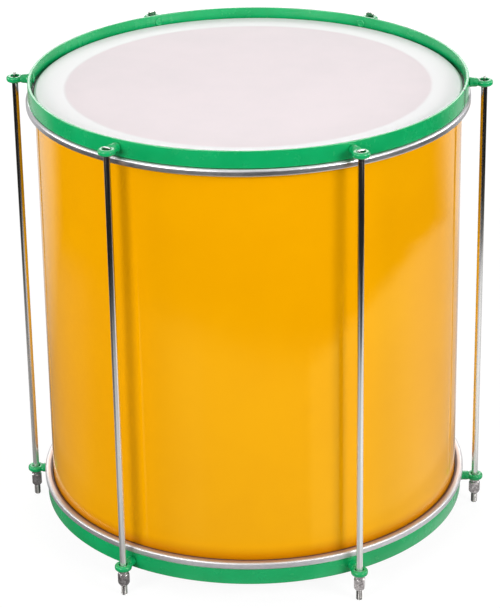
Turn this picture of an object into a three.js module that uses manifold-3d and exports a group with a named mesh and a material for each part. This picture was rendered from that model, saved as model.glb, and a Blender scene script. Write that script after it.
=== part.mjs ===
// A surdo, the bass drum of a samba band. Millimetres, +Z up.
// The origin is at the middle of the circle of rod ends that the drum stands on.
// Tension station 1 lies on +X and the others follow counter-clockwise, seen from above.

import * as THREE from 'three';
import { mergeVertices } from 'three/addons/utils/BufferGeometryUtils.js';
import Module from 'manifold-3d';

const wasm = await Module();
wasm.setup();

// Running gap between pieces that touch, and the overrun of every cutting tool
const fitGap = 0.3;
const cutOverrun = 2;

// Shell: sheet metal, its two edges rolled inwards over a wire
const shellRadius = 228.6;
const shellWall = 1;
const shellLength = 467;
const wireRadius = 1.7;

// Heads: a film drawn over the rolled edge, its rim held in the flesh hoop
const filmThickness = 0.4;
const filmFlange = 3.2;
const headRecess = 10.5;

// Counter hoops: flat bar standing on edge
const hoopHeight = 18.2;
const hoopThickness = 3.2;
const hoopPlay = 2.9;
const hoopEdge = 0.7;

// Flesh hoops: a channel with a round outer face that stands out under the counter hoop
const fleshHeight = 8;
const fleshProud = 2.6;
const fleshShoulder = 2.5;
const fleshFoot = 1.8;
const fleshLip = 2.2;

// Eye lugs: riveted through the counter hoops
const lugCount = 6;
const lugDrop = 8;
const rodStandOff = 16.3;
const eyeRadius = 9.4;
const eyeHoleRadius = 4.4;
const eyeHeight = 6.4;
const eyeEdge = 1.8;
const neckRadius = 4.7;
const neckRootRadius = 2.9;
const collarRadius = 5.4;
const collarThickness = 2;
const collarTaper = 1;
const tenonRadius = 3.3;
const rivetRadius = 5;
const rivetThickness = 1.2;

// Tension rods: plain wire with a rolled thread below and a flattened head on top
const rodRadius = 3.25;
const threadRadius = 3.5;
const threadLength = 45;
const threadChamfer = 0.7;
const rodFoot = 25.5;
const spadeWidth = 10;
const spadeThickness = 2.4;
const spadeHeight = 4.4;
const spadeCorner = 1.2;

// Tuning nuts: long hexagon nuts with a round neck that bears on the lower eye
const nutFlats = 11;
const nutLength = 17.7;
const nutNeckRadius = 4.8;
const nutNeckLength = 3;
const nutShoulder = 2;
const nutFootRadius = 4.6;
const nutChamfer = 2.6;
const nutTurns = [8, 34, 12, 40, 4, 22];

// Facets of round forms
const drumFacets = 48;
const curlSteps = 6;
const cornerSteps = 3;
const wireFacets = 6;
const eyeFacets = 14;
const shaftFacets = 8;
const rodFacets = 12;
const nutFacets = 12;

// Radii that follow from the shell outwards
const filmRadius = shellRadius + fitGap + filmThickness;
const hoopInnerRadius = filmRadius + hoopPlay;
const hoopRadius = hoopInnerRadius + hoopThickness;
const fleshInnerRadius = filmRadius + fitGap;
const fleshRadius = hoopRadius + fleshProud;
const rodCircleRadius = hoopRadius + rodStandOff;
const curlRadius = wireRadius + fitGap + shellWall;

// Levels above the middle of the drum, the same above and below
const edgeLevel = shellLength / 2;
const headLevel = edgeLevel + fitGap + filmThickness;
const rimLevel = headLevel + headRecess;
const hoopFootLevel = rimLevel - hoopHeight;
const fleshTopLevel = hoopFootLevel - fitGap;
const fleshFootLevel = fleshTopLevel - fleshHeight;
const grooveLevel = fleshFootLevel + fleshLip;
const eyeLevel = rimLevel - lugDrop;

// Heights above the floor
const middleHeight = rodFoot + rimLevel;
const lowerEyeHeight = middleHeight - eyeLevel;
const upperEyeHeight = middleHeight + eyeLevel;
const nutTopHeight = lowerEyeHeight - eyeHeight / 2 - fitGap;
const spadeFootHeight = upperEyeHeight + eyeHeight / 2 + fitGap;

const quarterTurn = Math.PI / 2;
const stationStep = 2 * Math.PI / lugCount;

const finishes = {
  lacquer: { color: '#f2a908', roughness: 0.22, metalness: 0 },
  enamel: { color: '#16a566', roughness: 0.3, metalness: 0 },
  film: { color: '#f1ebec', roughness: 0.6, metalness: 0 },
  aluminium: { color: '#c9c8ca', roughness: 0.28, metalness: 1 },
  wire: { color: '#9a9a9c', roughness: 0.45, metalness: 1 },
  rodSteel: { color: '#b4b3b1', roughness: 0.22, metalness: 1 },
  nutSteel: { color: '#8f8c8e', roughness: 0.4, metalness: 1 },
};

function meshOf(name, geometry, finish) {
  const mesh = new THREE.Mesh(geometry, new THREE.MeshStandardMaterial(finishes[finish]));
  mesh.name = name;
  return mesh;
}

// Points of an arc about a centre, in degrees, counter-clockwise when the second angle is larger
function arc(centreX, centreY, radius, fromDegrees, toDegrees, steps) {
  const points = [];
  for (let i = 0; i <= steps; i += 1) {
    const angle = THREE.MathUtils.degToRad(fromDegrees + (toDegrees - fromDegrees) * i / steps);
    points.push([centreX + radius * Math.cos(angle), centreY + radius * Math.sin(angle)]);
  }
  return points;
}

// Closed mesh with shared corners and no triangle of zero area
function weld(geometry) {
  geometry.deleteAttribute('normal');
  geometry.deleteAttribute('uv');
  const welded = mergeVertices(geometry);
  const corners = welded.index.array;
  const kept = [];
  for (let i = 0; i < corners.length; i += 3) {
    const [a, b, c] = [corners[i], corners[i + 1], corners[i + 2]];
    if (a !== b && b !== c && c !== a) kept.push(a, b, c);
  }
  welded.setIndex(kept);
  welded.computeVertexNormals();
  return welded;
}

// Round body about Z from [radius, height] points
function turned(points, facets) {
  const outline = points.map(([radius, height]) => new THREE.Vector2(radius, height));
  return weld(new THREE.LatheGeometry(outline, facets).rotateX(quarterTurn));
}

// Round body about Z whose outline closes on itself away from the axis
function turnedRing(points, facets) {
  return turned([...points, points[0]], facets);
}

function solidOf(geometry) {
  const welded = weld(geometry.clone());
  return new wasm.Manifold(new wasm.Mesh({
    numProp: 3,
    vertProperties: new Float32Array(welded.attributes.position.array),
    triVerts: new Uint32Array(welded.index.array),
  }));
}

function geometryOf(solid) {
  const mesh = solid.getMesh();
  const geometry = new THREE.BufferGeometry();
  geometry.setAttribute('position', new THREE.BufferAttribute(mesh.vertProperties, 3));
  geometry.setIndex(new THREE.BufferAttribute(mesh.triVerts, 1));
  geometry.computeVertexNormals();
  return geometry;
}

// The shell's section runs up the outside, round one rolled edge, down the inside and back
function shellGeometry() {
  const curlCentreRadius = shellRadius - curlRadius;
  const curlLevel = edgeLevel - curlRadius;
  const innerRadius = curlRadius - shellWall;
  return turnedRing([
    ...arc(curlCentreRadius, curlLevel, curlRadius, 0, 270, curlSteps),
    ...arc(curlCentreRadius, curlLevel, innerRadius, 270, 0, curlSteps),
    ...arc(curlCentreRadius, -curlLevel, innerRadius, 0, -270, curlSteps),
    ...arc(curlCentreRadius, -curlLevel, curlRadius, -270, 0, curlSteps),
  ], drumFacets);
}

function edgeWireGeometry() {
  const ringRadius = shellRadius - curlRadius;
  const ring = arc(ringRadius, edgeLevel - curlRadius, wireRadius, 0, 360, wireFacets).slice(0, -1);
  return turnedRing(ring, drumFacets);
}

// The film lies flat, bends over the rolled edge and ends in a flange inside the flesh hoop
function headGeometry() {
  const bendRadius = shellRadius - curlRadius;
  const bendLevel = edgeLevel - curlRadius;
  const innerBend = curlRadius + fitGap;
  const outerBend = innerBend + filmThickness;
  const flangeFoot = grooveLevel + fitGap;
  const flangeTop = flangeFoot + filmThickness;
  return turned([
    [0, headLevel - filmThickness],
    ...arc(bendRadius, bendLevel, innerBend, 90, 0, cornerSteps),
    [filmRadius - filmThickness, flangeFoot],
    [filmRadius + filmFlange, flangeFoot],
    [filmRadius + filmFlange, flangeTop],
    [filmRadius, flangeTop],
    ...arc(bendRadius, bendLevel, outerBend, 0, 90, cornerSteps),
    [0, headLevel],
  ], drumFacets);
}

// A channel: flat on top for the counter hoop, round outside, grooved inside for the film
function fleshHoopGeometry() {
  const shoulderRadius = fleshRadius - fleshShoulder;
  const footRadius = fleshRadius - fleshFoot;
  const grooveTop = grooveLevel + filmThickness + 2 * fitGap;
  const grooveRadius = filmRadius + filmFlange + fitGap;
  return turnedRing([
    [fleshInnerRadius, fleshFootLevel],
    ...arc(footRadius, fleshFootLevel + fleshFoot, fleshFoot, -90, 0, cornerSteps - 1),
    ...arc(shoulderRadius, fleshTopLevel - fleshShoulder, fleshShoulder, 0, 90, cornerSteps),
    [fleshInnerRadius, fleshTopLevel],
    [fleshInnerRadius, grooveTop],
    [grooveRadius, grooveTop],
    [grooveRadius, grooveLevel],
    [fleshInnerRadius, grooveLevel],
  ], drumFacets);
}

// A flat bar bent on edge, with eased corners and a hole for each lug's tenon
function counterHoopGeometry() {
  const bar = turnedRing([
    [hoopInnerRadius, hoopFootLevel + hoopEdge],
    [hoopInnerRadius + hoopEdge, hoopFootLevel],
    [hoopRadius - hoopEdge, hoopFootLevel],
    [hoopRadius, hoopFootLevel + hoopEdge],
    [hoopRadius, rimLevel - hoopEdge],
    [hoopRadius - hoopEdge, rimLevel],
    [hoopInnerRadius + hoopEdge, rimLevel],
    [hoopInnerRadius, rimLevel - hoopEdge],
  ], drumFacets);
  const drillLength = hoopThickness + 2 * cutOverrun;
  let solid = solidOf(bar);
  for (let station = 0; station < lugCount; station += 1) {
    const drillRadius = tenonRadius + fitGap;
    const drill = new THREE.CylinderGeometry(drillRadius, drillRadius, drillLength, shaftFacets);
    drill.rotateZ(quarterTurn);
    drill.translate(hoopInnerRadius + hoopThickness / 2, 0, eyeLevel);
    drill.rotateZ(station * stationStep);
    solid = solid.subtract(solidOf(drill));
  }
  return geometryOf(solid);
}

// An eye with eased edges, standing at the rod, on a shaft riveted through the hoop.
// The shaft's section runs along the radius, from the rivet's face to inside the eye's wall.
function lugGeometry() {
  const eyeHalf = eyeHeight / 2;
  const eye = turnedRing([
    [eyeHoleRadius, -eyeHalf],
    [eyeRadius - eyeEdge, -eyeHalf],
    [eyeRadius, -eyeHalf + eyeEdge],
    [eyeRadius, eyeHalf - eyeEdge],
    [eyeRadius - eyeEdge, eyeHalf],
    [eyeHoleRadius, eyeHalf],
  ], eyeFacets).translate(rodCircleRadius, 0, eyeLevel);

  const barFacetDrop = rivetRadius * Math.tan(Math.PI / drumFacets);
  const rivetFace = hoopInnerRadius - barFacetDrop - fitGap;
  const collarFace = hoopRadius + fitGap;
  const eyeWallMiddle = rodCircleRadius - (eyeRadius + eyeHoleRadius) / 2;
  const shaft = turned([
    [0, rivetFace - rivetThickness],
    [rivetRadius - rivetThickness / 2, rivetFace - rivetThickness],
    [rivetRadius, rivetFace - rivetThickness / 2],
    [rivetRadius, rivetFace],
    [tenonRadius, rivetFace],
    [tenonRadius, collarFace],
    [collarRadius, collarFace],
    [collarRadius, collarFace + collarThickness],
    [neckRadius, collarFace + collarThickness + collarTaper],
    [neckRadius, rodCircleRadius - eyeRadius],
    [neckRootRadius, eyeWallMiddle],
    [0, eyeWallMiddle],
  ], shaftFacets).rotateY(quarterTurn).translate(0, 0, eyeLevel);
  return geometryOf(solidOf(eye).add(solidOf(shaft)));
}

// The rod hangs by its flattened head from the upper eye and stands on its threaded end
function rodGeometry() {
  const plainStart = threadLength + threadChamfer;
  const rod = turned([
    [0, 0],
    [threadRadius - threadChamfer, 0],
    [threadRadius, threadChamfer],
    [threadRadius, threadLength],
    [rodRadius, plainStart],
    [rodRadius, spadeFootHeight],
    [0, spadeFootHeight + spadeThickness / 2],
  ], rodFacets);

  const half = spadeWidth / 2;
  const top = spadeFootHeight + spadeHeight;
  const outline = new THREE.Shape();
  outline.moveTo(-rodRadius / 2, spadeFootHeight - spadeHeight);
  outline.lineTo(rodRadius / 2, spadeFootHeight - spadeHeight);
  outline.lineTo(rodRadius, spadeFootHeight);
  outline.lineTo(half, spadeFootHeight);
  outline.lineTo(half, top - spadeCorner);
  outline.lineTo(half - spadeCorner, top);
  outline.lineTo(spadeCorner - half, top);
  outline.lineTo(-half, top - spadeCorner);
  outline.lineTo(-half, spadeFootHeight);
  outline.lineTo(-rodRadius, spadeFootHeight);
  outline.closePath();
  const spade = new THREE.ExtrudeGeometry(outline, { depth: spadeThickness, bevelEnabled: false });
  spade.translate(0, 0, -spadeThickness / 2).rotateX(quarterTurn).rotateZ(quarterTurn);
  return geometryOf(solidOf(rod).add(solidOf(spade)));
}

// A hexagon cut to a turned spindle with a neck above and a chamfer below, then bored
function nutGeometry() {
  const nutFoot = nutTopHeight - nutLength;
  const corners = nutFlats / Math.sqrt(3);
  const hexagon = new THREE.CylinderGeometry(corners, corners, nutLength, 6);
  hexagon.rotateX(quarterTurn).translate(0, 0, nutFoot + nutLength / 2);
  const shoulderFoot = nutTopHeight - nutNeckLength - nutShoulder;
  const spindle = turned([
    [0, nutFoot],
    [nutFootRadius, nutFoot],
    [corners, nutFoot + nutChamfer],
    [corners + cutOverrun, nutFoot + nutChamfer],
    [corners + cutOverrun, shoulderFoot],
    [corners, shoulderFoot],
    [nutNeckRadius, nutTopHeight - nutNeckLength],
    [nutNeckRadius, nutTopHeight],
    [0, nutTopHeight],
  ], nutFacets);
  const boreRadius = threadRadius + fitGap;
  const bore = new THREE.CylinderGeometry(boreRadius, boreRadius, nutLength + 2 * cutOverrun, rodFacets);
  bore.rotateX(quarterTurn).translate(0, 0, nutFoot + nutLength / 2);
  return geometryOf(solidOf(hexagon).intersect(solidOf(spindle)).subtract(solidOf(bore)));
}

// Everything that one end of the drum holds; the lower end is the upper one turned over
function drumEnd(side, turnedOver) {
  const end = new THREE.Group();
  end.add(meshOf(`${side}_edge_wire`, edgeWireGeometry(), 'wire'));
  end.add(meshOf(`${side}_head`, headGeometry(), 'film'));
  end.add(meshOf(`${side}_flesh_hoop`, fleshHoopGeometry(), 'aluminium'));
  end.add(meshOf(`${side}_hoop`, counterHoopGeometry(), 'enamel'));
  for (let station = 0; station < lugCount; station += 1) {
    const lug = meshOf(`${side}_lug_${station + 1}`, lugGeometry(), 'enamel');
    lug.rotation.z = (turnedOver ? -station : station) * stationStep;
    end.add(lug);
  }
  end.rotation.x = turnedOver ? Math.PI : 0;
  end.position.z = middleHeight;
  return end;
}

function tensionStation(station) {
  const place = new THREE.Group();
  place.rotation.z = station * stationStep;
  const rod = meshOf(`tension_rod_${station + 1}`, rodGeometry(), 'rodSteel');
  const nut = meshOf(`tuning_nut_${station + 1}`, nutGeometry(), 'nutSteel');
  rod.position.x = rodCircleRadius;
  nut.position.x = rodCircleRadius;
  nut.rotation.z = THREE.MathUtils.degToRad(nutTurns[station % nutTurns.length]);
  place.add(rod, nut);
  return place;
}

const group = new THREE.Group();
const shell = meshOf('shell', shellGeometry(), 'lacquer');
shell.position.z = middleHeight;
group.add(shell, drumEnd('top', false), drumEnd('bottom', true));
for (let station = 0; station < lugCount; station += 1) {
  group.add(tensionStation(station));
}

export default group;
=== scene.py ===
"""The surdo's looks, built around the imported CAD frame.

Mesh code counts in millimetres, and mesh_of turns them into metres. Materials, lamps and the stage
count in metres.
"""

import math

import bmesh
import bpy
from mathutils import Matrix, Vector


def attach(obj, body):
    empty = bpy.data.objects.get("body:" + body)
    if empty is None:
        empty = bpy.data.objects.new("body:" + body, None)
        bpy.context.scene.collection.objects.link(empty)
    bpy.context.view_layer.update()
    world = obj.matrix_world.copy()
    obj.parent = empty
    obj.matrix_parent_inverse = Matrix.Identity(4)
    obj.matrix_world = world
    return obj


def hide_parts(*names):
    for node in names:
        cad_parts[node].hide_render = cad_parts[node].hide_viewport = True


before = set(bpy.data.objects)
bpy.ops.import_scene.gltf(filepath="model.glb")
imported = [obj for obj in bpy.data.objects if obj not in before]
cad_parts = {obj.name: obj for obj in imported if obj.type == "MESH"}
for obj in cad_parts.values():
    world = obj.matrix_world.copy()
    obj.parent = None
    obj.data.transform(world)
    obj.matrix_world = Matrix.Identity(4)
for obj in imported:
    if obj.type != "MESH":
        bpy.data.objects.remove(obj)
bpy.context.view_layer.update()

MM = 0.001
STATION_COUNT = 6
STATIONS = range(STATION_COUNT)
STATION_STEP = math.tau / STATION_COUNT

# Sizes shared with the frame. Heights on the rings count from the drum's middle.
GAP = 0.3
SHELL_RADIUS = 228.6
SHELL_WALL = 1.0
SHELL_CURL = 3.0
SHELL_EDGE = 233.5
CURL_CIRCLE = SHELL_RADIUS - SHELL_CURL
CURL_LEVEL = SHELL_EDGE - SHELL_CURL
FILM = 0.4
FILM_RADIUS = 229.3
FILM_FLANGE = 3.2
HEAD = 234.2
FLESH_INNER = 229.6
FLESH_OUTER = 237.98
FLESH_FOOT = 218.2
FLESH_TOP = 226.2
FLESH_LIP = 2.2
HOOP_INNER = 232.2
HOOP_OUTER = 235.4
HOOP_FOOT = 226.5
RIM = 244.7
ROD_CIRCLE = 251.7
EYE = 236.7
EYE_HALF = 3.2
EYE_RADIUS = 9.13
EYE_HOLE = 4.4
MIDDLE = 270.2
UPPER_EYE = MIDDLE + EYE
LOWER_EYE = MIDDLE - EYE

# Columns round the drum
RING_STEPS = 288
HEAD_STEPS = 240

# By station: how far the rod's head stands above its eye, and the nut's turn in degrees
ROD_RISES = (4.4, 4.4, 4.4, 4.4, 1.0, 1.0)
NUT_TURNS = (8, 34, 12, 40, 4, 22)

# The photo's camera in the part's frame, from a fit to the drum's rings, rods and eyes. The focal
# length, the image and the optical axis count in pixels.
CAMERA_TURN = math.radians(4.097)
CAMERA_ASIDE = -0.68
CAMERA_OUT = 2421.74
CAMERA_HEIGHT = 1345.65
CAMERA_PITCH = math.radians(23.023)
CAMERA_ROLL = math.radians(-0.89)
PIXEL_FOCAL = 2390.92
IMAGE_HEIGHT = 608
OPTICAL_AXIS_ABOVE_MIDDLE = 60
SENSOR = 36

# Angles round the drum: the side towards the camera, the shell's seam and the hoops' joints
FRONT = -math.pi / 2 + CAMERA_TURN
SEAM = FRONT + math.pi
TOP_JOINT = FRONT + math.radians(73.9)
BOTTOM_JOINT = FRONT + math.radians(201)
FLESH_JOINT_SHIFTS = (0.5, 0.4)


def linear(r, g, b):
    """An sRGB colour in 0 to 255 as linear RGBA."""
    def one(c):
        c /= 255
        return c / 12.92 if c <= 0.04045 else ((c + 0.055) / 1.055) ** 2.4
    return (one(r), one(g), one(b), 1.0)


# Mesh helpers

def arc(x, y, radius, start, end, steps):
    """Points of an arc from start to end degrees."""
    angles = [math.radians(start + (end - start) * i / steps) for i in range(steps + 1)]
    return [(x + radius * math.cos(a), y + radius * math.sin(a)) for a in angles]


def rounded(corners, steps):
    """A closed outline of (x, y, radius) corners, each rounded with its radius."""
    out = []
    for i, (x, y, radius) in enumerate(corners):
        corner, before = Vector((x, y)), Vector(corners[i - 1][:2])
        after = Vector(corners[(i + 1) % len(corners)][:2])
        u, v = (before - corner).normalized(), (after - corner).normalized()
        half = u.angle(v) / 2
        cut = radius / math.tan(half)
        centre = corner + (u + v).normalized() * radius / math.sin(half)
        start, end = corner + u * cut - centre, corner + v * cut - centre
        turn = start.angle_signed(end)
        for k in range(steps + 1):
            point = centre + Matrix.Rotation(-turn * k / steps, 2) @ start
            out.append((point.x, point.y))
    return out


def mesh_of(name, verts, faces):
    """A mesh in metres of vertices in millimetres, with its faces turned outwards."""
    mesh = bpy.data.meshes.new(name)
    mesh.from_pydata([Vector(v) * MM for v in verts], [], faces)
    mesh.validate()
    bm = bmesh.new()
    bm.from_mesh(mesh)
    bmesh.ops.remove_doubles(bm, verts=bm.verts, dist=1e-7)
    bmesh.ops.recalc_face_normals(bm, faces=bm.faces)
    bm.to_mesh(mesh)
    bm.free()
    return mesh


def turned(name, outline, angles, loop=True, change=None):
    """A body of revolution about Z. loop joins the outline's ends; without it they lie on the axis.

    change(angle, radius, z) may move a point of the outline.
    """
    count = len(angles)
    verts, rings, faces = [], [], []
    for r, z in outline:
        if r == 0:
            rings.append([len(verts)] * count)
            verts.append((0, 0, z))
            continue
        rings.append(list(range(len(verts), len(verts) + count)))
        for a in angles:
            radius, level = change(a, r, z) if change else (r, z)
            verts.append((radius * math.cos(a), radius * math.sin(a), level))
    for low, high in zip(rings, rings[1:] + rings[:1] if loop else rings[1:]):
        for i in range(count):
            j = (i + 1) % count
            face = list(dict.fromkeys((low[i], low[j], high[j], high[i])))
            if len(face) > 2:
                faces.append(face)
    return mesh_of(name, verts, faces)


def loft(name, sections):
    """A closed body through sections, each a list of as many points, with flat ends."""
    n = len(sections[0])
    verts = [p for section in sections for p in section]
    faces = [[k * n + i, k * n + (i + 1) % n, (k + 1) * n + (i + 1) % n, (k + 1) * n + i]
             for k in range(len(sections) - 1) for i in range(n)]
    faces.append(list(range(n)))
    faces.append(list(range(len(verts) - n, len(verts))))
    return mesh_of(name, verts, faces)


def evenly(steps):
    return [math.tau * i / steps for i in range(steps)]


def along(angle, centre, radius):
    """The way round a ring from centre to angle, negative on one side and positive on the other."""
    return ((angle - centre + math.pi) % math.tau - math.pi) * radius


def with_columns(angles, centre, radius, places):
    """The angles with columns of their own for a joint: places count along the ring from its centre."""
    clear = max(abs(s) for s in places) / radius * 1.05
    kept = [a for a in angles if abs(along(a, centre, 1)) > clear]
    return sorted(kept + [(centre + s / radius) % math.tau for s in places])


def linked(name, data):
    obj = bpy.data.objects.new(name, data)
    bpy.context.scene.collection.objects.link(obj)
    return obj


def combine(body, operation, mesh):
    """Adds a boolean step with the mesh to the body and returns the object that it uses."""
    tool = linked("tool", mesh)
    step = body.modifiers.new(operation, "BOOLEAN")
    step.operation, step.solver, step.object = operation, "EXACT", tool
    return tool


def finished(body, tools):
    """The body's mesh after its modifiers. The body and its tools are removed."""
    mesh = bpy.data.meshes.new_from_object(body.evaluated_get(bpy.context.evaluated_depsgraph_get()))
    for obj in [body] + tools:
        bpy.data.objects.remove(obj)
    return mesh


def moved(mesh, matrix):
    copy = mesh.copy()
    copy.transform(matrix)
    return copy


def at_height(z):
    return Matrix.Translation((0, 0, z * MM))


def piece(name, mesh, material, body, node, sharp=35):
    """An object of the mesh that rides its body in its node's place.

    It is smooth but for edges sharper than sharp degrees.
    """
    for polygon in mesh.polygons:
        polygon.use_smooth = True
    mesh.set_sharp_from_angle(angle=math.radians(sharp))
    mesh.materials.append(material)
    obj = linked(name, mesh)
    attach(obj, body)
    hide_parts(node)


# Node helpers

class Nodes:
    """Short calls for building a node tree."""

    def __init__(self, tree):
        self.tree = tree

    def add(self, kind, **values):
        node = self.tree.nodes.new(kind)
        for key, value in values.items():
            setattr(node, key, value)
        return node

    def plug(self, value, socket):
        if isinstance(value, bpy.types.NodeSocket):
            self.tree.links.new(value, socket)
        else:
            socket.default_value = value

    def math(self, operation, *values):
        node = self.add("ShaderNodeMath", operation=operation)
        for value, socket in zip(values, node.inputs):
            self.plug(value, socket)
        return node.outputs[0]

    def plus(self, a, b):
        return self.math("ADD", a, b)

    def less(self, a, b):
        return self.math("SUBTRACT", a, b)

    def times(self, a, b):
        return self.math("MULTIPLY", a, b)

    def most(self, a, b):
        return self.math("MAXIMUM", a, b)

    def hypot(self, x, y):
        return self.math("SQRT", self.plus(self.times(x, x), self.times(y, y)))

    def split(self, vector):
        node = self.add("ShaderNodeSeparateXYZ")
        self.plug(vector, node.inputs[0])
        return node.outputs

    def ramp(self, value, low, high, to_low=0.0, to_high=1.0, smooth=True):
        node = self.add("ShaderNodeMapRange", interpolation_type="SMOOTHSTEP" if smooth else "LINEAR")
        self.plug(value, node.inputs["Value"])
        for key, number in (("From Min", low), ("From Max", high), ("To Min", to_low), ("To Max", to_high)):
            node.inputs[key].default_value = number
        return node.outputs["Result"]

    def shader_mix(self, share, first, second):
        """A mix of two shaders. None as the first leaves it black."""
        node = self.add("ShaderNodeMixShader")
        for value, socket in zip((share, first, second), node.inputs):
            if value is not None:
                self.plug(value, socket)
        return node.outputs[0]


class Material(Nodes):
    """A new material's nodes, around its Principled shader."""

    SPREAD = (0.3, 0.7)
    SOCKETS = {"color": "Base Color", "rough": "Roughness", "metal": "Metallic", "normal": "Normal",
               "coat": "Coat Weight", "coat_rough": "Coat Roughness", "coat_normal": "Coat Normal",
               "specular": "Specular IOR Level", "tint": "Specular Tint"}

    def __init__(self, name):
        self.material = bpy.data.materials.new(name)
        self.material.use_nodes = True
        super().__init__(self.material.node_tree)
        self.bsdf = self.tree.nodes["Principled BSDF"]
        self.coords = self.add("ShaderNodeTexCoord").outputs["Object"]
        self.x, self.y, self.z = self.split(self.coords)

    def radius(self):
        """Distance from the drum's axis."""
        return self.hypot(self.x, self.y)

    def attribute(self, name):
        return self.add("ShaderNodeAttribute", attribute_name=name).outputs["Fac"]

    def noise(self, scale, detail=2.0, rough=0.5, stretch=None, vector=None):
        source = vector or self.coords
        if stretch:
            node = self.add("ShaderNodeVectorMath", operation="MULTIPLY")
            self.plug(source, node.inputs[0])
            self.plug(stretch, node.inputs[1])
            source = node.outputs[0]
        node = self.add("ShaderNodeTexNoise")
        self.plug(source, node.inputs["Vector"])
        for key, number in (("Scale", scale), ("Detail", detail), ("Roughness", rough)):
            node.inputs[key].default_value = number
        return node.outputs["Fac"]

    def mix(self, share, first, second):
        node = self.add("ShaderNodeMix", data_type="RGBA")
        self.plug(share, node.inputs["Factor"])
        self.plug(first, node.inputs[6])
        self.plug(second, node.inputs[7])
        return node.outputs[2]

    def mottled(self, noise, first, second):
        """Two tones, changing over the middle of a noise."""
        return self.mix(self.ramp(noise, *self.SPREAD), first, second)

    def cover(self, colour, tone, where, strength):
        """The colour under a tone that lies where a mask says."""
        return self.mix(self.times(where, strength), colour, tone)

    def bump(self, height, strength, distance, normal=None):
        node = self.add("ShaderNodeBump")
        node.inputs["Strength"].default_value = strength
        node.inputs["Distance"].default_value = distance
        self.plug(height, node.inputs["Height"])
        if normal:
            self.plug(normal, node.inputs["Normal"])
        return node.outputs["Normal"]

    def set(self, **values):
        for key, value in values.items():
            self.plug(value, self.bsdf.inputs[self.SOCKETS[key]])
        return self.material


# Materials

def lacquer_material():
    """Poured gloss lacquer: faint orange peel, a slight run of tone, and painted shade darkening the foot,
    where dust also dulls the gloss.
    """
    n = Material("lacquer")
    # Heights where the painted shade at the foot starts and is full; the gloss dulls over the same span
    foot_clear, foot_dark_and_dull = 0.068, 0.051
    foot = n.ramp(n.z, foot_clear, foot_dark_and_dull)
    dust = n.ramp(n.noise(scale=900.0, detail=1.0), 0.80, 0.84)
    colour = n.mottled(n.noise(scale=7.0, detail=3.0, rough=0.55), linear(246, 169, 0), linear(250, 174, 0))
    colour = n.cover(colour, linear(226, 150, 10), dust, strength=0.35)
    # Painted shade: the colour darkens towards the foot, next to the bottom flesh hoop
    colour = n.cover(colour, linear(170, 72, 0), foot, strength=0.6)
    peel = n.bump(n.noise(scale=240.0, detail=2.0, rough=0.4), strength=0.05, distance=0.0004)
    normal = n.bump(n.noise(scale=38.0, detail=1.0, rough=0.3), strength=0.10, distance=0.0016, normal=peel)
    rough = n.ramp(n.noise(scale=16.0, detail=4.0, rough=0.6), 0.3, 0.75, to_low=0.05, to_high=0.085)
    rough = n.plus(rough, n.times(foot, 0.25))
    gloss = n.ramp(foot, 0.0, 1.0, to_low=0.9, to_high=0.1)
    return n.set(color=colour, rough=rough, specular=gloss, tint=(1.0, 1.0, 0.15, 1.0), normal=normal)


def enamel_material():
    """Thick semi-gloss enamel on steel: orange peel, and a dark line painted over the hoops' welds as the
    shade in their crack.
    """
    n = Material("enamel")
    colour = n.mottled(n.noise(scale=22.0, detail=3.0, rough=0.6), linear(4, 163, 92), linear(10, 172, 100))
    # Painted shade: a dark line along the crack of each hoop's weld
    colour = n.cover(colour, linear(2, 46, 28), n.attribute("seam"), strength=0.9)
    peel = n.bump(n.noise(scale=520.0, detail=2.0, rough=0.5), strength=0.10, distance=0.0004)
    normal = n.bump(n.noise(scale=90.0, detail=1.0, rough=0.4), strength=0.12, distance=0.0010, normal=peel)
    rough = n.ramp(n.noise(scale=60.0, detail=3.0, rough=0.6), 0.3, 0.75, to_low=0.20, to_high=0.30)
    return n.set(color=colour, rough=rough, specular=0.45, coat=0.12, coat_rough=0.12, normal=normal,
                 coat_normal=normal)


def film_material():
    """White film: a satin sprayed coating inside, glossier bare film round it, and painted shade in the gap
    where the hoop grips.
    """
    n = Material("film")
    coated_to, bare_from, waver = 0.1935, 0.1985, 0.002
    collar_lit_to, collar_shade_from = 0.2283, 0.2289
    radius = n.radius()
    wander = n.times(n.less(n.noise(scale=60.0, detail=3.0, rough=0.6), 0.5), waver)
    bare = n.ramp(n.plus(radius, wander), coated_to, bare_from)
    cloud = n.noise(scale=11.0, detail=4.0, rough=0.6)
    coated = n.mottled(cloud, linear(241, 230, 233), linear(245, 233, 236))
    colour = n.mix(bare, coated, linear(245, 243, 244))
    patches = n.ramp(n.noise(scale=45.0, detail=3.0, rough=0.6), 0.2, 0.5, to_low=0.75, to_high=1.0)
    # Painted shade: the film's collar darkens, in patches, where it lies in the gap between shell and flesh
    # hoop
    colour = n.cover(colour, linear(62, 36, 16), n.ramp(radius, collar_lit_to, collar_shade_from), strength=patches)
    grain = n.plus(n.noise(scale=1500.0, detail=2.0, rough=0.7), n.noise(scale=380.0, detail=3.0, rough=0.6))
    spray = n.bump(n.times(grain, n.less(1.0, bare)), strength=0.35, distance=0.0003)
    normal = n.bump(n.noise(scale=14.0, detail=1.0, rough=0.3), strength=0.05, distance=0.002, normal=spray)
    rough = n.ramp(bare, 0.0, 1.0, to_low=0.62, to_high=0.42, smooth=False)
    return n.set(color=colour, rough=rough, specular=0.25, normal=normal)


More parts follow.
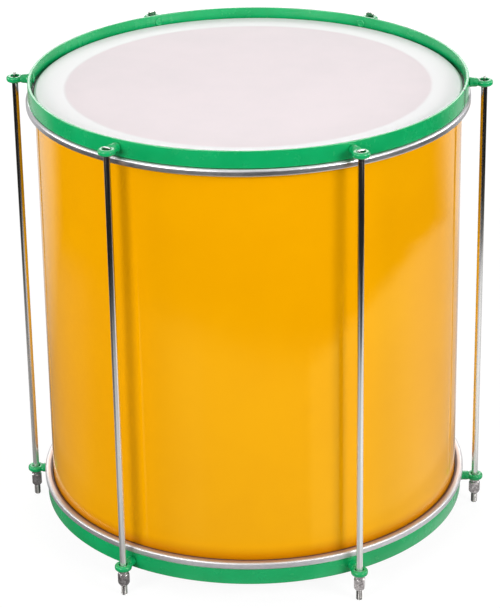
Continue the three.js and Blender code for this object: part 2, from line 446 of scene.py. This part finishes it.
def aluminium_material():
    """Rolled aluminium: fine lines round the hoop, a soft haze, painted shade by the shell, and a painted
    reflection of the yellow shell on the lower hoop.
    """
    n = Material("aluminium")
    upper_hoop, lower_hoop = 0.30, 0.20
    reflection_from, reflection_full = 0.2364, 0.2332
    gap_shade_from, gap_shade_full = 0.2330, 0.2308
    radius = n.radius()
    low = n.ramp(n.z, upper_hoop, lower_hoop)
    flow = n.add("ShaderNodeCombineXYZ")
    for value, socket in zip((n.times(n.math("ARCTAN2", n.y, n.x), 0.02), radius, n.z), flow.inputs):
        n.plug(value, socket)
    lines = n.noise(scale=2600.0, detail=3.0, rough=0.6, vector=flow.outputs[0])
    haze = n.noise(scale=40.0, detail=4.0, rough=0.6)
    colour = n.mottled(lines, linear(196, 195, 198), linear(216, 215, 217))
    # Painted reflection: the lower hoop takes on a tan from the yellow shell it mirrors
    tan = n.times(n.ramp(radius, reflection_from, reflection_full), low)
    colour = n.cover(colour, linear(180, 136, 102), tan, strength=0.6)
    # Painted shade: dark brown where the hoop's inner edge lies close to the shell
    gap_shade = n.ramp(radius, gap_shade_from, gap_shade_full)
    colour = n.cover(colour, linear(70, 34, 12), gap_shade, strength=0.92)
    rough = n.plus(n.ramp(lines, *n.SPREAD, to_low=0.30, to_high=0.38), n.times(low, 0.12))
    rough = n.plus(rough, n.ramp(haze, 0.35, 0.8, to_low=0.0, to_high=0.04))
    metal = n.times(n.ramp(low, 0.0, 1.0, to_low=1.0, to_high=0.8), n.less(1.0, gap_shade))
    normal = n.bump(lines, strength=0.03, distance=0.0002)
    return n.set(color=colour, rough=rough, metal=metal, specular=0.2, normal=normal)


def wire_material():
    """Plain drawn steel wire."""
    n = Material("wire")
    grain = n.noise(scale=700.0, detail=3.0, rough=0.6)
    colour = n.mix(grain, linear(120, 119, 118), linear(172, 171, 170))
    rough = n.ramp(grain, *n.SPREAD, to_low=0.35, to_high=0.55)
    return n.set(color=colour, rough=rough, metal=1.0, normal=n.bump(grain, strength=0.2, distance=0.0003))


def rod_material():
    """Zinc-plated drawn rod: draw lines, tarnish spots, painted dark reflection above, and below a thread
    with painted reflection streaks, darker in its roots.
    """
    n = Material("rod_steel")
    plain_from, thread_to = 0.0300, 0.0280
    top_reflection_from, top_reflection_full = 0.27, 0.42
    dull_to, bright_from = 0.14, 0.30
    lines = n.noise(scale=900.0, detail=3.0, rough=0.6, stretch=(1.0, 1.0, 0.012))
    spots = n.ramp(n.noise(scale=160.0, detail=4.0, rough=0.7), 0.66, 0.78)
    threaded = n.ramp(n.z, plain_from, thread_to)
    # Painted reflection: light and dark streaks along the thread
    reflection_streaks = n.ramp(n.noise(scale=420.0, detail=1.0, rough=0.5, stretch=(1.0, 1.0, 0.02)), 0.44, 0.56)
    thread_colour = n.mix(reflection_streaks, linear(84, 80, 78), linear(236, 234, 231))
    colour = n.mottled(lines, linear(226, 225, 223), linear(240, 239, 237))
    colour = n.cover(colour, linear(150, 146, 140), spots, strength=0.5)
    # Painted dark reflection: the rod's colour darkens towards its top
    colour = n.cover(colour, linear(156, 153, 149), n.ramp(n.z, top_reflection_from, top_reflection_full), strength=0.8)
    colour = n.cover(colour, thread_colour, threaded, strength=0.9)
    colour = n.cover(colour, linear(60, 56, 53), n.times(n.attribute("root"), threaded), strength=0.5)
    rough = n.plus(n.ramp(lines, *n.SPREAD, to_low=0.15, to_high=0.22), n.times(threaded, 0.15))
    metal = n.ramp(n.z, dull_to, bright_from, to_low=0.72, to_high=1.0)
    normal = n.bump(lines, strength=0.06, distance=0.0002)
    return n.set(color=colour, rough=rough, metal=metal, specular=0.3, normal=normal)


def nut_material():
    """Zinc-plated machined steel: mottled and spotted, with turning marks round the neck."""
    n = Material("nut_steel")
    mottle = n.noise(scale=420.0, detail=4.0, rough=0.65)
    fine = n.noise(scale=1900.0, detail=2.0, rough=0.6)
    rings = n.noise(scale=2600.0, detail=1.0, rough=0.5, stretch=(0.02, 0.02, 1.0))
    spots = n.ramp(n.noise(scale=800.0, detail=2.0), 0.66, 0.74)
    colour = n.mix(n.ramp(mottle, 0.32, 0.68), linear(132, 126, 126), linear(214, 208, 208))
    colour = n.mix(spots, colour, linear(70, 66, 65))
    rough = n.ramp(mottle, *n.SPREAD, to_low=0.3, to_high=0.16)
    normal = n.bump(n.plus(mottle, fine), strength=0.2, distance=0.0003)
    normal = n.bump(rings, strength=0.15, distance=0.0002, normal=normal)
    return n.set(color=colour, rough=rough, metal=0.82, specular=0.3, normal=normal)


# Pieces

def shell_mesh():
    """Sheet rolled over a wire at both edges, with its lap seam at the back."""
    belts = (-170, -85, 0, 85, 170)
    lap_end, curl_foot = 216, 222
    outline = arc(CURL_CIRCLE, CURL_LEVEL, SHELL_CURL, 0, 270, 18)
    outline += arc(CURL_CIRCLE, CURL_LEVEL, SHELL_CURL - SHELL_WALL, 270, 0, 14)
    outline += [(SHELL_RADIUS - SHELL_WALL, z) for z in reversed(belts)]
    outline += arc(CURL_CIRCLE, -CURL_LEVEL, SHELL_CURL - SHELL_WALL, 0, -270, 14)
    outline += arc(CURL_CIRCLE, -CURL_LEVEL, SHELL_CURL, -270, 0, 18)
    outline += [(SHELL_RADIUS, z) for z in (-curl_foot, -lap_end, *belts, lap_end, curl_foot)]

    drop, step, width, slack = 0.55, 0.5, 16, 0.01

    def lap(a, r, z):
        s = along(a, SEAM, SHELL_RADIUS)
        if r < SHELL_RADIUS - slack or abs(z) > lap_end or not -slack < s < width:
            return r, z
        share = s / step if s < step else (1 - (s - step) / (width - step)) ** 2
        return r - drop * share, z

    columns = (-4, -0.4, 0, 0.25, 0.5, 1.2, 2.5, 4, 6, 8, 10, 12.5, 16)
    angles = with_columns(evenly(RING_STEPS), SEAM, SHELL_RADIUS, columns)
    return turned("shell_lacquered", outline, angles, change=lap)


def head_mesh():
    """Film over the bearing edge: flat, bent down and out into the flesh hoop's groove."""
    inside = SHELL_CURL + GAP
    flange = FLESH_FOOT + FLESH_LIP + GAP
    reach = FILM_RADIUS + FILM_FLANGE
    inner_wall = FILM_RADIUS - FILM
    inner_bend, outer_bend = 0.6, 0.5
    inner = [(r, HEAD - FILM) for r in (0, 60, 120, 180, 215)]
    inner += arc(CURL_CIRCLE, CURL_LEVEL, inside, 90, 0, 10)
    inner += [(inner_wall, flange + inner_bend), (inner_wall + inner_bend, flange), (reach, flange)]
    top = flange + FILM
    outer = [(reach, top), (FILM_RADIUS + outer_bend, top), (FILM_RADIUS, top + outer_bend)]
    outer += arc(CURL_CIRCLE, CURL_LEVEL, inside + FILM, 0, 90, 10)
    outer += [(r, HEAD) for r in (215, 200, 196, 180, 120, 60, 0)]
    return turned("head_film", inner + outer, evenly(HEAD_STEPS), loop=False)


def flesh_hoop_mesh(joint):
    """Rolled channel with a full round shoulder, a groove for the film and a butt joint."""
    lower_edge, shoulder, flat, ease = 1.9, 2.9, 0.3, 0.2
    groove = FLESH_FOOT + FLESH_LIP
    groove_top, groove_back = groove + FILM + 2 * GAP, FILM_RADIUS + FILM_FLANGE + GAP
    outline = [(FLESH_INNER, FLESH_FOOT), (FLESH_INNER + flat, FLESH_FOOT)]
    outline += arc(FLESH_OUTER - lower_edge, FLESH_FOOT + lower_edge, lower_edge, -90, 0, 8)
    outline += arc(FLESH_OUTER - shoulder, FLESH_TOP - shoulder, shoulder, 0, 90, 12)
    outline += [(FLESH_INNER + ease, FLESH_TOP), (FLESH_INNER, FLESH_TOP - ease), (FLESH_INNER, groove_top),
                (groove_back, groove_top), (groove_back, groove), (FLESH_INNER, groove)]
    half_slit, depth, slit_from = 0.2, 0.5, HOOP_OUTER - 1

    def slit(a, r, z):
        cut = abs(along(a, joint, FLESH_OUTER)) < half_slit and r > slit_from
        return (r - depth if cut else r), z

    columns = (-3, -1, -0.32, -0.15, 0.15, 0.32, 1, 3)
    angles = with_columns(evenly(RING_STEPS), joint, FLESH_OUTER, columns)
    return turned("flesh_hoop", outline, angles, change=slit)


def counter_hoop_mesh(joint):
    """Flat bar bent on edge, its corners eased, its ends butt-welded and painted over.

    The seam attribute marks the weld for the painted shade along its crack.
    """
    corner, middle = 0.8, (HOOP_INNER + HOOP_OUTER) / 2
    outline = rounded([(HOOP_INNER, HOOP_FOOT, corner), (HOOP_OUTER, HOOP_FOOT, corner),
                       (HOOP_OUTER, RIM, corner), (HOOP_INNER, RIM, corner)], 5)
    weld_half, dip, dip_width, inner_share = 3.5, 0.4, 1.3, 0.6

    def weld(a, r, z):
        s = along(a, joint, HOOP_OUTER)
        if abs(s) > weld_half:
            return r, z
        sink = dip * math.exp(-(s / dip_width) ** 2)
        return (r - sink if r > middle else r + sink * inner_share), z

    half = (0.25, 0.5, 0.75, 1, 1.5, 2, 2.6, 3.2, 4)
    columns = (*(-s for s in half), 0, *half)
    angles = with_columns(evenly(RING_STEPS), joint, HOOP_OUTER, columns)
    mesh = turned("counter_hoop", outline, angles, change=weld)
    seam_half, strength = 2.6, 1.5
    seam = mesh.attributes.new("seam", "FLOAT", "POINT")
    for vertex, value in zip(mesh.vertices, seam.data):
        s = along(math.atan2(vertex.co.y, vertex.co.x), joint, HOOP_OUTER)
        value.value = max(0.0, min(1.0, strength * (1 - (s / seam_half) ** 2)))
    return mesh


def lug_mesh():
    """A forged eye whose shank swells into the hoop, peened over inside.

    Made at station 1, level with the eye.
    """
    hole_edge, outer_edge, voxel = 0.9, 2.6, 0.34
    eye = turned("eye", rounded([(EYE_HOLE, -EYE_HALF, hole_edge), (EYE_RADIUS, -EYE_HALF, outer_edge),
                                 (EYE_RADIUS, EYE_HALF, outer_edge), (EYE_HOLE, EYE_HALF, hole_edge)], 6),
                 evenly(64))
    eye.transform(Matrix.Translation((ROD_CIRCLE * MM, 0, 0)))
    # Places from the hoop's face outwards, then back from the rod, each with half its width and height
    face, tenon = HOOP_OUTER + GAP, 3.3
    spans = [(HOOP_INNER - 1.2, tenon, tenon), (face - 0.05, tenon, tenon)]
    spans += [(face + out, wide, high) for out, wide, high in (
        (0, 5.0, 5.0), (0.5, 5.4, 5.4), (1.4, 5.5, 5.4), (2.4, 5.3, 5.1), (3.6, 5.3, 5.0), (5.2, 5.7, 4.9))]
    spans += [(ROD_CIRCLE - back, wide, high) for back, wide, high in (
        (9.0, 6.2, 4.7), (7.6, 6.4, 4.2), (5.8, 5.6, 3.1))]
    shank = loft("shank", [[(x, wide * math.cos(a), high * math.sin(a)) for a in evenly(48)]
                           for x, wide, high in spans])
    body = linked("lug_body", eye)
    tools = [combine(body, "UNION", shank)]
    remesh = body.modifiers.new("remesh", "REMESH")
    remesh.mode, remesh.voxel_size, remesh.use_smooth_shade = "VOXEL", voxel * MM, True
    smooth = body.modifiers.new("smooth", "SMOOTH")
    smooth.factor, smooth.iterations = 0.5, 6
    bm = bmesh.new()
    bm.from_mesh(finished(body, tools))
    bm.from_mesh(rivet_mesh())
    bmesh.ops.recalc_face_normals(bm, faces=bm.faces)
    joined = bpy.data.meshes.new("eye_lug")
    bm.to_mesh(joined)
    bm.free()
    return joined


def rivet_mesh():
    """The peened inner end of a lug: a flat head with a dimple."""
    seat = HOOP_INNER - 0.35
    profile = ((0, 0), (4.6, 0), (4.95, 0.25), (4.8, 0.7), (4.2, 1.1), (3.4, 1.2), (2.6, 1.0), (2.1, 0.45),
               (1.4, 0.25), (0, 0.2))
    rivet = turned("rivet", [(r, seat - inwards) for r, inwards in profile], evenly(40), loop=False)
    rivet.transform(Matrix.Rotation(math.pi / 2, 4, "Y"))
    return rivet


def rod_mesh(rise):
    """Drawn rod with a rolled thread below and a hammered head that stands rise above its eye.

    Made on the axis, from the floor up. The root attribute is 1 in the roots of the thread.
    """
    around, rows_per_turn = 32, 10
    pitch, thread, depth, crest, plain = 1.0, 35.0, 0.62, 3.48, 3.42
    tip, bevel, run_out, plain_end, unmarked = 2.6, 0.9, 1.5, 2.0, 1.0
    flank, flat = 1.28, 0.12

    def thread_radius(a, z):
        entry = min(1.0, z / bevel)
        fade = min(1.0, max(0.0, (thread - z) / run_out)) * entry
        limit = tip + entry * (crest - tip)
        body = plain if z > thread - plain_end else crest
        tooth = min(1.0, max(0.0, flank * abs(2 * ((z / pitch - a / math.tau) % 1.0) - 1) - flat))
        return min(limit, fade * (crest - depth * (1 - tooth)) + (1 - fade) * min(body, limit))

    sections, roots = [], []
    rows = int(thread / pitch * rows_per_turn)
    for k in range(rows + 1):
        z = thread * k / rows
        radii = [(a, thread_radius(a, z)) for a in evenly(around)]
        sections.append([(r * math.cos(a), r * math.sin(a), z) for a, r in radii])
        full = bevel < z < thread - unmarked
        roots += [max(0.0, min(1.0, (crest - r) / depth)) if full else 0.0 for _, r in radii]

    # Height, half width, half thickness and squareness up the rod, then below and above the eye's top
    top = UPPER_EYE + EYE_HALF + GAP
    upper = [(z, plain, plain, 2) for z in (36.2, 140, 260, 380, top - 6.8)]
    upper += [(top - below, wide, thick, power) for below, wide, thick, power in (
        (5.8, 3.45, 3.1, 2.1), (5.0, 3.5, 2.3, 2.3), (4.3, 3.5, 1.6, 2.6), (3.4, 3.5, 1.25, 2.8),
        (1.2, 3.6, 1.2, 3.0), (0.3, 3.9, 1.18, 3.2))]
    upper += [(top + share * rise, wide, thick, power) for share, wide, thick, power in (
        (0.08, 4.7, 1.15, 3.3), (0.22, 4.95, 1.12, 3.4), (0.55, 4.95, 1.08, 3.4), (0.80, 4.6, 1.0, 3.0),
        (0.92, 4.0, 0.92, 2.8), (0.97, 3.2, 0.75, 2.6), (1.0, 2.5, 0.5, 2.4))]
    for z, wide, thick, power in upper:
        corners = [(math.cos(a), math.sin(a)) for a in evenly(around)]
        sections.append([(thick * math.copysign(abs(c) ** (2 / power), c),
                          wide * math.copysign(abs(s) ** (2 / power), s), z) for c, s in corners])
        roots += [0.0] * around
    mesh = loft("tension_rod", sections)
    mesh.attributes.new("root", "FLOAT", "POINT").data.foreach_set("value", roots)
    return mesh


def nut_mesh():
    """Long hexagon nut: round neck, coned shoulder and foot, countersunk bore. Made on the axis."""
    flats, edge, length, spare = 11.0, 0.35, 17.7, 0.5
    high = LOWER_EYE - EYE_HALF - GAP
    low = high - length
    corner = flats / math.sqrt(3)
    hexagon = rounded([(corner * math.cos(a), corner * math.sin(a), edge) for a in evenly(6)], 4)
    bar = loft("hexagon", [[(x, y, z) for x, y in hexagon] for z in (low - spare, high + spare)])

    neck, neck_edge, fillet, shoulder = 4.7, 0.35, 0.3, 2.9
    outline = [(r, low + up) for r, up in ((0, 0), (4.5, 0), (4.75, 0.2), (6.0, 2.0), (6.6, 3.3), (8.0, 3.3))]
    outline += [(r, high - down) for r, down in ((8.0, 5.2), (6.45, 5.2), (5.6, 4.0), (4.8, 3.3))]
    outline += arc(neck + fillet, high - shoulder, fillet, 230, 180, 3) + [(neck, high - neck_edge)]
    outline += arc(neck - neck_edge, high - neck_edge, neck_edge, 0, 90, 3) + [(0, high)]

    bore, sink, upper_sink, past = 3.6, 0.7, 0.6, 1
    hole = [(0, low - past), (4.4, low - past), (4.2, low), (bore, low + sink)]
    hole += [(bore, high - upper_sink), (4.1, high), (4.5, high + past), (0, high + past)]

    body = linked("nut_body", bar)
    tools = [combine(body, "INTERSECT", turned("spindle", outline, evenly(72), loop=False)),
             combine(body, "DIFFERENCE", turned("bore", hole, evenly(48), loop=False))]
    return finished(body, tools)


def build_drum():
    """The shell, and at either side its film, hoops and lugs.

    The bottom is the top turned over about X, where an angle changes its sign.
    """
    lacquer, enamel, film = lacquer_material(), enamel_material(), film_material()
    aluminium, wire = aluminium_material(), wire_material()
    shell = moved(shell_mesh(), at_height(MIDDLE))
    piece("shell_lacquered", shell, lacquer, "drum", "shell")
    lug = lug_mesh()
    top_shift, bottom_shift = FLESH_JOINT_SHIFTS
    for side, flip, joint, flesh_joint, eye in (
            ("top", Matrix(), TOP_JOINT, SEAM + top_shift, UPPER_EYE),
            ("bottom", Matrix.Rotation(math.pi, 4, "X"), -BOTTOM_JOINT, -SEAM - bottom_shift, LOWER_EYE)):
        place = at_height(MIDDLE) @ flip
        for name, mesh, material, slot, node in (
                ("head_film", head_mesh(), film, "head_film", "head"),
                ("flesh_ring", flesh_hoop_mesh(flesh_joint), aluminium, "flesh_hoop_aluminium", "flesh_hoop"),
                ("counter_hoop", counter_hoop_mesh(joint), enamel, "hoop_enamel", "hoop")):
            piece(f"{side}_{name}", moved(mesh, place), material, "drum", f"{side}_{node}")
        wire_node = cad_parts[f"{side}_edge_wire"]
        wire_node.data.materials.clear()
        wire_node.data.materials.append(wire)
        for k in STATIONS:
            turn = Matrix.Rotation(STATION_STEP * k, 4, "Z")
            piece(f"{side}_eye_lug_{k + 1}", moved(lug, turn @ at_height(eye) @ flip), enamel, "drum",
                  f"{side}_lug_{k + 1}", sharp=60)


def build_tension():
    """A rod and its nut at each station, each riding its own body."""
    rod_steel, nut_steel, nut = rod_material(), nut_material(), nut_mesh()
    rods = {rise: rod_mesh(rise) for rise in dict.fromkeys(ROD_RISES)}
    for k, rise, twist in zip(STATIONS, ROD_RISES, NUT_TURNS):
        place = Matrix.Rotation(STATION_STEP * k, 4, "Z") @ Matrix.Translation((ROD_CIRCLE * MM, 0, 0))
        piece(f"tension_rod_steel_{k + 1}", moved(rods[rise], place), rod_steel, f"rod_{k + 1}",
              f"tension_rod_{k + 1}", sharp=50)
        turned_nut = moved(nut, place @ Matrix.Rotation(math.radians(twist), 4, "Z"))
        piece(f"tuning_nut_steel_{k + 1}", turned_nut, nut_steel, f"nut_{k + 1}",
              f"tuning_nut_{k + 1}", sharp=28)


# Stage. Its places lie x to the right and y away from the photo's camera, and its bearings are
# degrees to the right from the side towards the camera.

FLOOR_HALF = 12.0
FLOOR_DROP = 0.0003
FLOOR_GREYS = ((0.33, 0.33, 0.33, 1.0), (0.37, 0.37, 0.37, 1.0))
FLOOR_SHADOW = 0.34
# The paper's white for the camera, and the distances from the drum between which it changes
WHITE_NEAR, WHITE_FAR = 0.91, 1.0
NEAR, FAR = 0.9, 2.2

# The floor as the drum mirrors it. Over the bearing from one place its brightness changes in steps,
# each with a start, an end and a change.
MIRROR_CENTRE = (0.0, -0.12)
MIRROR_BASE = 0.10
MIRROR_STEPS = ((-66, -29, 0.58), (-88, -104, 0.10), (-28.5, -26.5, -0.10), (29, 33, 0.42), (60, 75, -0.02),
                (88, 120, -0.45))
# It is lit in two discs: x, y, radius of full light and radius of none
MIRROR_DISCS = ((0.20, 0.10, 0.78, 0.88), (-0.10, 0.0, 0.74, 0.98))
# Behind the drum it brightens from one y to another: both, the brightness, and the bearings it fades in over
MIRROR_BEHIND = ((-0.05, 0.9, 0.7, -114, -130), (0.2, 0.9, 0.75, 100, 135))
MIRROR_LEAST = 0.012
# The drum's shadow is a ring: radii where it starts, is full, fades and ends
SHADOW_RING = (0.27, 0.29, 0.33, 0.37)
SHADOW_DEPTH = 0.35

AMBIENT = 0.2
CEILING_LOW, CEILING_HIGH, CEILING_RISE = 0.64, 0.8, 0.6

LAMP_TARGET = (0.0, 0.0, 0.27)
# Name, bearing, distance, height, size and power
LAMPS = (("left_softbox", -38, 2.2, 1.15, (1.0, 0.9), 30.5),
         ("right_softbox", 48.5, 2.2, 1.15, (0.9, 0.9), 31),
         ("left_fill", -95, 2.4, 0.85, (1.2, 1.0), 17.5),
         ("right_fill", 105, 2.4, 1.0, (1.2, 1.0), 17),
         ("overhead", 0, 0.05, 2.4, (1.8, 1.8), 8),
         ("back_light", 180, 2.3, 1.6, (1.8, 0.9), 19),
         ("back_fill", 180, 2.4, 0.35, (1.8, 0.6), 14))


def mirrored_floor(n, place):
    """The floor's brightness in what shines: a pool of light round the drum, dim on its shaded side."""
    x, y, _ = n.split(place)
    c, s = math.cos(CAMERA_TURN), math.sin(CAMERA_TURN)
    right = n.plus(n.times(x, c), n.times(y, s))
    away = n.less(n.times(y, c), n.times(x, s))

    def disc(centre_x, centre_y, full, none):
        return n.ramp(n.hypot(n.less(right, centre_x), n.less(away, centre_y)), none, full)

    centre_x, centre_y = MIRROR_CENTRE
    bearing = n.math("ARCTAN2", n.less(right, centre_x), n.less(centre_y, away))

    def over_bearing(start, end, change=1.0):
        return n.ramp(bearing, math.radians(start), math.radians(end), to_high=change)

    level = MIRROR_BASE
    for step in MIRROR_STEPS:
        level = n.plus(level, over_bearing(*step))
    glow = MIRROR_LEAST
    for near, far, strength, start, end in MIRROR_BEHIND:
        behind = n.times(n.ramp(away, near, far, to_high=strength), over_bearing(start, end))
        glow = n.most(glow, behind)
    first, second = (disc(*one) for one in MIRROR_DISCS)
    glow = n.most(glow, n.times(n.most(first, second), level))
    starts, full, fades, ends = SHADOW_RING
    ring = n.times(disc(0, 0, fades, ends), n.less(1.0, disc(0, 0, starts, full)))
    return n.times(glow, n.less(1.0, n.times(ring, SHADOW_DEPTH)))


def floor_material():
    """White paper to the camera, with the drum's shadow on it, and clear from below."""
    n = Material("paper")
    geometry = n.add("ShaderNodeNewGeometry")
    path = n.add("ShaderNodeLightPath")

    def emission(strength):
        node = n.add("ShaderNodeEmission")
        n.plug(strength, node.inputs["Strength"])
        return node.outputs[0]

    n.set(color=n.mix(n.noise(scale=300.0), *FLOOR_GREYS), rough=0.9, specular=0.0)
    paper = n.bsdf.outputs[0]
    distance = n.add("ShaderNodeVectorMath", operation="LENGTH")
    n.plug(geometry.outputs["Position"], distance.inputs[0])
    white = n.ramp(distance.outputs["Value"], NEAR, FAR, WHITE_NEAR, WHITE_FAR)
    lit = n.add("ShaderNodeAddShader")
    n.plug(emission(white), lit.inputs[0])
    n.plug(n.shader_mix(FLOOR_SHADOW, None, paper), lit.inputs[1])
    surface = n.shader_mix(path.outputs["Is Camera Ray"], paper, lit.outputs[0])
    shines = n.most(path.outputs["Is Glossy Ray"], path.outputs["Is Transmission Ray"])
    surface = n.shader_mix(shines, surface, emission(mirrored_floor(n, geometry.outputs["Position"])))
    clear = n.add("ShaderNodeBsdfTransparent").outputs[0]
    surface = n.shader_mix(geometry.outputs["Backfacing"], surface, clear)
    n.plug(surface, n.tree.nodes["Material Output"].inputs["Surface"])
    return n.material


def make_floor():
    mesh = bpy.data.meshes.new("floor")
    corners = [(x * FLOOR_HALF, y * FLOOR_HALF, 0) for x, y in ((-1, -1), (1, -1), (1, 1), (-1, 1))]
    mesh.from_pydata(corners, [], [(0, 1, 2, 3)])
    mesh.materials.append(floor_material())
    floor = linked("floor", mesh)
    floor.location.z = -FLOOR_DROP


def make_world():
    """White to the camera, a plain ambient to the surfaces, a bright ceiling to what shines."""
    world = bpy.data.worlds.new("studio")
    bpy.context.scene.world = world
    world.use_nodes = True
    n = Nodes(world.node_tree)
    n.tree.nodes.clear()

    def background(strength):
        node = n.add("ShaderNodeBackground")
        n.plug((1.0, 1.0, 1.0, 1.0), node.inputs["Color"])
        n.plug(strength, node.inputs["Strength"])
        return node.outputs[0]

    up = n.split(n.add("ShaderNodeTexCoord").outputs["Generated"])[2]
    ceiling = n.ramp(up, 0.0, CEILING_RISE, CEILING_LOW, CEILING_HIGH)
    path = n.add("ShaderNodeLightPath")
    surface = background(AMBIENT)
    for ray, strength in (("Is Glossy Ray", ceiling), ("Is Transmission Ray", 1.0), ("Is Camera Ray", 1.0)):
        surface = n.shader_mix(path.outputs[ray], surface, background(strength))
    n.plug(surface, n.add("ShaderNodeOutputWorld").inputs["Surface"])


def make_lamps():
    """Soft boxes round the drum, aimed at its middle."""
    for name, bearing, distance, height, (width, depth), power in LAMPS:
        lamp = bpy.data.lights.new(name, "AREA")
        lamp.shape = "RECTANGLE"
        lamp.size, lamp.size_y = width, depth
        lamp.energy = power
        obj = linked(name, lamp)
        angle = FRONT + math.radians(bearing)
        obj.location = (distance * math.cos(angle), distance * math.sin(angle), height)
        aim = Vector(LAMP_TARGET) - obj.location
        obj.rotation_euler = aim.to_track_quat("-Z", "Y").to_euler()


def make_camera():
    camera = bpy.data.cameras.new("camera")
    camera.sensor_width = SENSOR
    camera.sensor_fit = "AUTO"
    camera.lens = PIXEL_FOCAL * SENSOR / IMAGE_HEIGHT
    camera.shift_y = -OPTICAL_AXIS_ABOVE_MIDDLE / IMAGE_HEIGHT
    camera.clip_start, camera.clip_end = 0.1, 100
    obj = linked("camera", camera)
    turn = Matrix.Rotation(CAMERA_TURN, 3, "Z")
    forward = turn @ Vector((0, math.cos(CAMERA_PITCH), -math.sin(CAMERA_PITCH)))
    right = turn @ Vector((1, 0, 0))
    up = right.cross(forward)
    c, s = math.cos(CAMERA_ROLL), math.sin(CAMERA_ROLL)
    right, up = right * c + up * s, up * c - right * s
    basis = Matrix((right, up, -forward)).transposed().to_4x4()
    place = turn @ Vector((CAMERA_ASIDE, -CAMERA_OUT, CAMERA_HEIGHT)) * MM
    obj.matrix_world = Matrix.Translation(place) @ basis
    bpy.context.scene.camera = obj


build_drum()
build_tension()
make_floor()
make_world()
make_lamps()
make_camera()
bpy.context.scene.view_settings.view_transform = "Standard"
